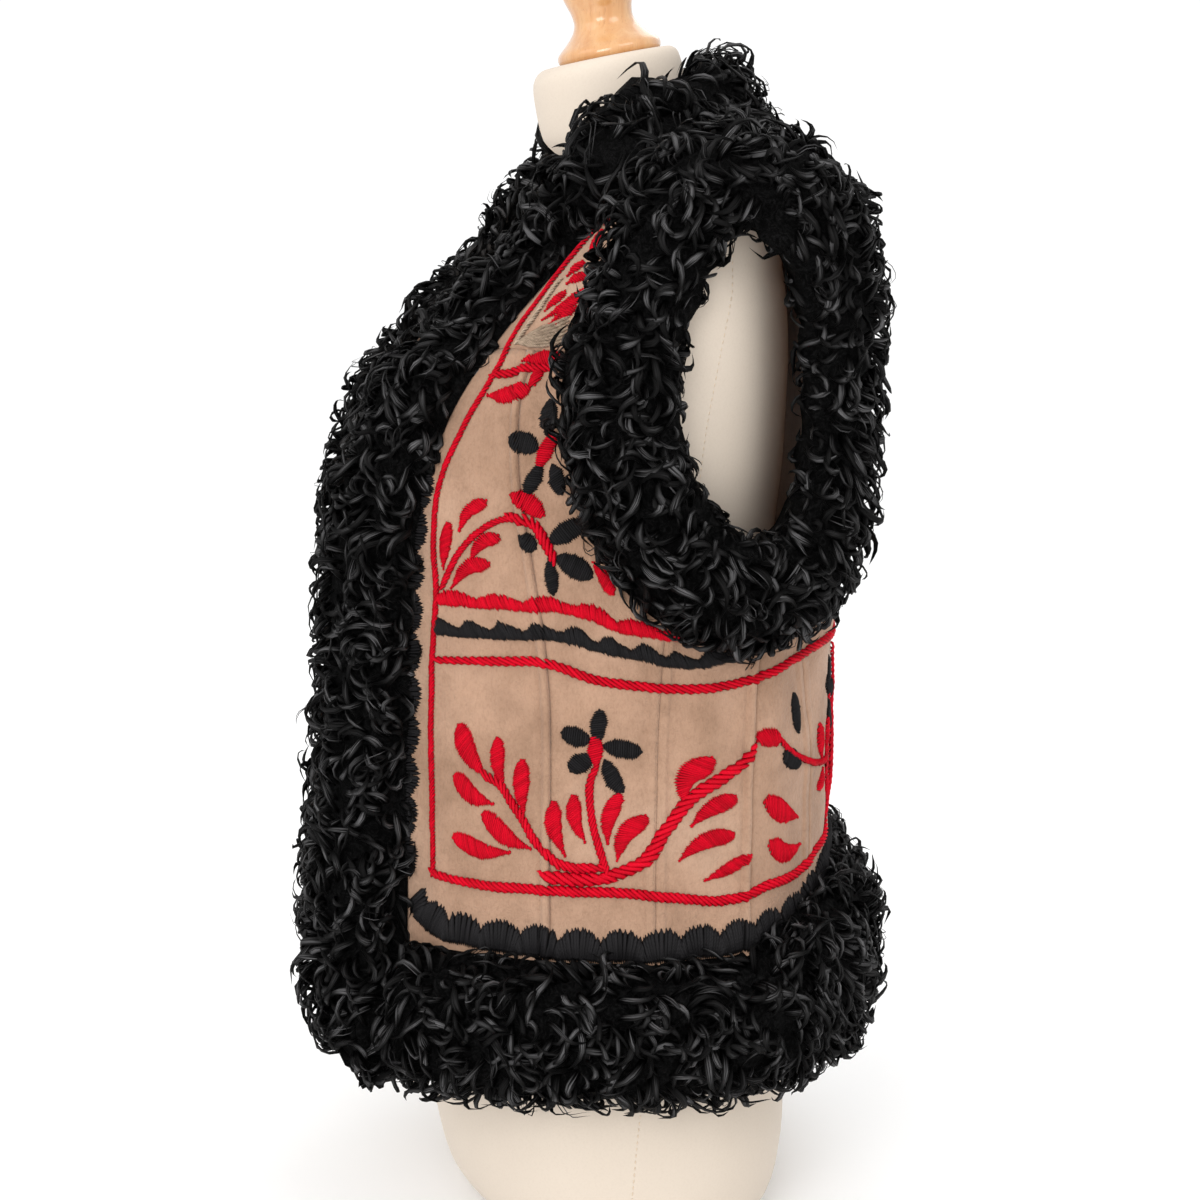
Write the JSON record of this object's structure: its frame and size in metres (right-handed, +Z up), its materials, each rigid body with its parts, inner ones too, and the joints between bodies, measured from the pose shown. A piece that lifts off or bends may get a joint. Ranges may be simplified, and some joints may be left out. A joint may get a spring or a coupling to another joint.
{
  "type": "embroidered sleeveless vest on a limbless dress form",
  "caption": "Open-fronted suede vest with curly fur trim at front edges, neckline, armholes and hem, standing on a limbless dress form.",
  "frame": {"origin": "middle of the dress form's flat underside", "axes": "+Z up, -Y the way the wearer faces, +X the wearer's left"},
  "size_m": [0.4428, 0.3905, 0.8378],
  "materials": {
    "suede": "napped sheepskin suede, matte",
    "curly_fur": "long curly lambskin, soft sheen",
    "jersey": "stretched cotton jersey, matte",
    "varnished_wood": "turned and varnished, glossy"
  },
  "bodies": {
    "root": {"dress_form": "jersey", "finial": "varnished_wood", "back_centre": "suede", "back_side_left": "suede", "back_side_right": "suede", "side_left": "suede", "side_right": "suede", "front_side_left": "suede", "front_side_right": "suede", "front_centre_left": "suede", "front_centre_right": "suede", "yoke_left": "suede", "yoke_right": "suede", "front_fur_left": "curly_fur", "front_fur_right": "curly_fur", "neck_fur": "curly_fur", "hem_fur_left": "curly_fur", "hem_fur_back": "curly_fur", "hem_fur_right": "curly_fur", "armhole_fur_left": "curly_fur", "armhole_fur_right": "curly_fur"}
  },
  "joints": []
}
